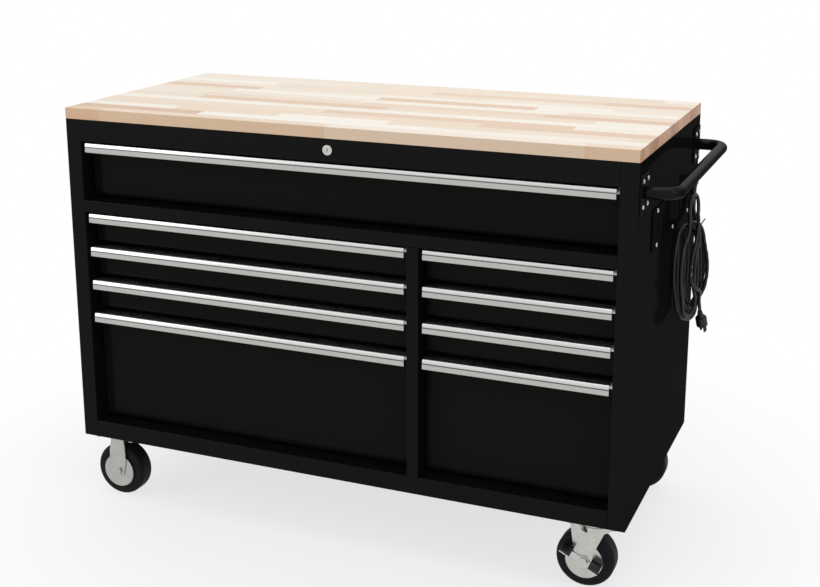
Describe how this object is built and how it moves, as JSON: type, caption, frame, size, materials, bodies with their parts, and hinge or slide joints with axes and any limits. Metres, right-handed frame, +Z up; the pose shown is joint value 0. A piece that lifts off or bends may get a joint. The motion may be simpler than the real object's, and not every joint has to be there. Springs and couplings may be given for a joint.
{
  "type": "mobile workbench",
  "caption": "Wide rolling tool cabinet with black steel drawers, full-width metal pulls, a butcher-block worktop, a side push handle and a power strip with its cord hung up.",
  "frame": {"origin": "on the floor, under the middle of the box around the whole bench, push handle and lock rim included", "axes": "+X to the right as seen from the drawers, where the push handle is; +Y to the back; +Z up"},
  "size_m": [1.3972, 0.625, 0.9525],
  "materials": {
    "black_powder_coat": "gloss",
    "satin_aluminium": "satin",
    "glued_hardwood": "lacquered",
    "zinc_steel": "bright zinc",
    "chrome": "polished",
    "tyre_rubber": "matte",
    "black_plastic": "matte",
    "cord_rubber": "semi-matte"
  },
  "bodies": {
    "bench": {"worktop": "glued_hardwood", "left_side_panel": "black_powder_coat", "right_side_panel": "black_powder_coat", "back_panel": "black_powder_coat", "bottom_panel": "black_powder_coat", "top_rail": "black_powder_coat", "mid_rail": "black_powder_coat", "bottom_rail": "black_powder_coat", "centre_divider": "black_powder_coat", "base_channels": "black_powder_coat", "cabinet_slides": "zinc_steel", "push_handle": "black_powder_coat", "side_screws": "zinc_steel", "lock_barrel": "chrome", "power_strip": "black_powder_coat", "strain_relief": "black_plastic", "cord": "cord_rubber", "cord_hank": "cord_rubber", "plug": "black_plastic", "rigid_fork_front": "zinc_steel", "rigid_fork_rear": "zinc_steel", "swivel_plate_front": "zinc_steel", "swivel_plate_rear": "zinc_steel", "caster_bolts": "zinc_steel"},
    "top_drawer": {"top_drawer": "black_powder_coat", "top_drawer_pull": "satin_aluminium"},
    "top_drawer_slides": {"top_drawer_slides": "zinc_steel"},
    "left_upper_drawer": {"left_upper_drawer": "black_powder_coat", "left_upper_drawer_pull": "satin_aluminium"},
    "left_upper_drawer_slides": {"left_upper_drawer_slides": "zinc_steel"},
    "left_middle_drawer": {"left_middle_drawer": "black_powder_coat", "left_middle_drawer_pull": "satin_aluminium"},
    "left_middle_drawer_slides": {"left_middle_drawer_slides": "zinc_steel"},
    "left_lower_drawer": {"left_lower_drawer": "black_powder_coat", "left_lower_drawer_pull": "satin_aluminium"},
    "left_lower_drawer_slides": {"left_lower_drawer_slides": "zinc_steel"},
    "left_deep_drawer": {"left_deep_drawer": "black_powder_coat", "left_deep_drawer_pull": "satin_aluminium"},
    "left_deep_drawer_slides": {"left_deep_drawer_slides": "zinc_steel"},
    "right_upper_drawer": {"right_upper_drawer": "black_powder_coat", "right_upper_drawer_pull": "satin_aluminium"},
    "right_upper_drawer_slides": {"right_upper_drawer_slides": "zinc_steel"},
    "right_middle_drawer": {"right_middle_drawer": "black_powder_coat", "right_middle_drawer_pull": "satin_aluminium"},
    "right_middle_drawer_slides": {"right_middle_drawer_slides": "zinc_steel"},
    "right_lower_drawer": {"right_lower_drawer": "black_powder_coat", "right_lower_drawer_pull": "satin_aluminium"},
    "right_lower_drawer_slides": {"right_lower_drawer_slides": "zinc_steel"},
    "right_deep_drawer": {"right_deep_drawer": "black_powder_coat", "right_deep_drawer_pull": "satin_aluminium"},
    "right_deep_drawer_slides": {"right_deep_drawer_slides": "zinc_steel"},
    "left_wheel_front": {"left_wheel_front": "tyre_rubber"},
    "right_wheel_front": {"right_wheel_front": "tyre_rubber"},
    "swivel_fork_front": {"swivel_fork_front": "zinc_steel"},
    "brake_pedal_front": {"brake_pedal_front": "zinc_steel"},
    "left_wheel_rear": {"left_wheel_rear": "tyre_rubber"},
    "right_wheel_rear": {"right_wheel_rear": "tyre_rubber"},
    "swivel_fork_rear": {"swivel_fork_rear": "zinc_steel"},
    "brake_pedal_rear": {"brake_pedal_rear": "zinc_steel"},
    "lock_plug": {"lock_plug": "chrome"}
  },
  "joints": [
    {"name": "top_drawer_slide", "type": "slide", "parent": "bench", "child": "top_drawer", "axis": [0, -1, 0], "range_m": [0, 0.5]},
    {"name": "top_drawer_middle_rails", "type": "slide", "parent": "bench", "child": "top_drawer_slides", "axis": [0, -1, 0], "range_m": [0, 0.25]},
    {"name": "left_upper_drawer_slide", "type": "slide", "parent": "bench", "child": "left_upper_drawer", "axis": [0, -1, 0], "range_m": [0, 0.5]},
    {"name": "left_upper_drawer_middle_rails", "type": "slide", "parent": "bench", "child": "left_upper_drawer_slides", "axis": [0, -1, 0], "range_m": [0, 0.25]},
    {"name": "left_middle_drawer_slide", "type": "slide", "parent": "bench", "child": "left_middle_drawer", "axis": [0, -1, 0], "range_m": [0, 0.5]},
    {"name": "left_middle_drawer_middle_rails", "type": "slide", "parent": "bench", "child": "left_middle_drawer_slides", "axis": [0, -1, 0], "range_m": [0, 0.25]},
    {"name": "left_lower_drawer_slide", "type": "slide", "parent": "bench", "child": "left_lower_drawer", "axis": [0, -1, 0], "range_m": [0, 0.5]},
    {"name": "left_lower_drawer_middle_rails", "type": "slide", "parent": "bench", "child": "left_lower_drawer_slides", "axis": [0, -1, 0], "range_m": [0, 0.25]},
    {"name": "left_deep_drawer_slide", "type": "slide", "parent": "bench", "child": "left_deep_drawer", "axis": [0, -1, 0], "range_m": [0, 0.5]},
    {"name": "left_deep_drawer_middle_rails", "type": "slide", "parent": "bench", "child": "left_deep_drawer_slides", "axis": [0, -1, 0], "range_m": [0, 0.25]},
    {"name": "right_upper_drawer_slide", "type": "slide", "parent": "bench", "child": "right_upper_drawer", "axis": [0, -1, 0], "range_m": [0, 0.5]},
    {"name": "right_upper_drawer_middle_rails", "type": "slide", "parent": "bench", "child": "right_upper_drawer_slides", "axis": [0, -1, 0], "range_m": [0, 0.25]},
    {"name": "right_middle_drawer_slide", "type": "slide", "parent": "bench", "child": "right_middle_drawer", "axis": [0, -1, 0], "range_m": [0, 0.5]},
    {"name": "right_middle_drawer_middle_rails", "type": "slide", "parent": "bench", "child": "right_middle_drawer_slides", "axis": [0, -1, 0], "range_m": [0, 0.25]},
    {"name": "right_lower_drawer_slide", "type": "slide", "parent": "bench", "child": "right_lower_drawer", "axis": [0, -1, 0], "range_m": [0, 0.5]},
    {"name": "right_lower_drawer_middle_rails", "type": "slide", "parent": "bench", "child": "right_lower_drawer_slides", "axis": [0, -1, 0], "range_m": [0, 0.25]},
    {"name": "right_deep_drawer_slide", "type": "slide", "parent": "bench", "child": "right_deep_drawer", "axis": [0, -1, 0], "range_m": [0, 0.5]},
    {"name": "right_deep_drawer_middle_rails", "type": "slide", "parent": "bench", "child": "right_deep_drawer_slides", "axis": [0, -1, 0], "range_m": [0, 0.25]},
    {"name": "left_wheel_front_spin", "type": "hinge", "parent": "bench", "child": "left_wheel_front", "pos_m": [-0.6261, -0.2545, 0.0635], "axis": [0, 1, 0], "continuous": true},
    {"name": "swivel_front", "type": "hinge", "parent": "bench", "child": "swivel_fork_front", "pos_m": [0.5499, -0.2545, 0.1447], "axis": [0, 0, 1], "continuous": true},
    {"name": "right_wheel_front_spin", "type": "hinge", "parent": "swivel_fork_front", "child": "right_wheel_front", "pos_m": [0.5319, -0.2545, 0.0635], "axis": [0, 1, 0], "continuous": true},
    {"name": "brake_front", "type": "hinge", "parent": "swivel_fork_front", "child": "brake_pedal_front", "pos_m": [0.5319, -0.2545, 0.0635], "axis": [0, -1, 0], "range_deg": [0, 20]},
    {"name": "left_wheel_rear_spin", "type": "hinge", "parent": "bench", "child": "left_wheel_rear", "pos_m": [-0.6261, 0.2575, 0.0635], "axis": [0, 1, 0], "continuous": true},
    {"name": "swivel_rear", "type": "hinge", "parent": "bench", "child": "swivel_fork_rear", "pos_m": [0.5499, 0.2575, 0.1447], "axis": [0, 0, 1], "continuous": true},
    {"name": "right_wheel_rear_spin", "type": "hinge", "parent": "swivel_fork_rear", "child": "right_wheel_rear", "pos_m": [0.5319, 0.2575, 0.0635], "axis": [0, 1, 0], "continuous": true},
    {"name": "brake_rear", "type": "hinge", "parent": "swivel_fork_rear", "child": "brake_pedal_rear", "pos_m": [0.5319, 0.2575, 0.0635], "axis": [0, -1, 0], "range_deg": [0, 20]},
    {"name": "lock_turn", "type": "hinge", "parent": "bench", "child": "lock_plug", "pos_m": [-0.0381, -0.3095, 0.9032], "axis": [0, -1, 0], "range_deg": [0, 90]}
  ],
  "couplings": [
    {"joint": "top_drawer_middle_rails", "follows": "top_drawer_slide", "ratio": 0.5},
    {"joint": "left_upper_drawer_middle_rails", "follows": "left_upper_drawer_slide", "ratio": 0.5},
    {"joint": "left_middle_drawer_middle_rails", "follows": "left_middle_drawer_slide", "ratio": 0.5},
    {"joint": "left_lower_drawer_middle_rails", "follows": "left_lower_drawer_slide", "ratio": 0.5},
    {"joint": "left_deep_drawer_middle_rails", "follows": "left_deep_drawer_slide", "ratio": 0.5},
    {"joint": "right_upper_drawer_middle_rails", "follows": "right_upper_drawer_slide", "ratio": 0.5},
    {"joint": "right_middle_drawer_middle_rails", "follows": "right_middle_drawer_slide", "ratio": 0.5},
    {"joint": "right_lower_drawer_middle_rails", "follows": "right_lower_drawer_slide", "ratio": 0.5},
    {"joint": "right_deep_drawer_middle_rails", "follows": "right_deep_drawer_slide", "ratio": 0.5}
  ]
}
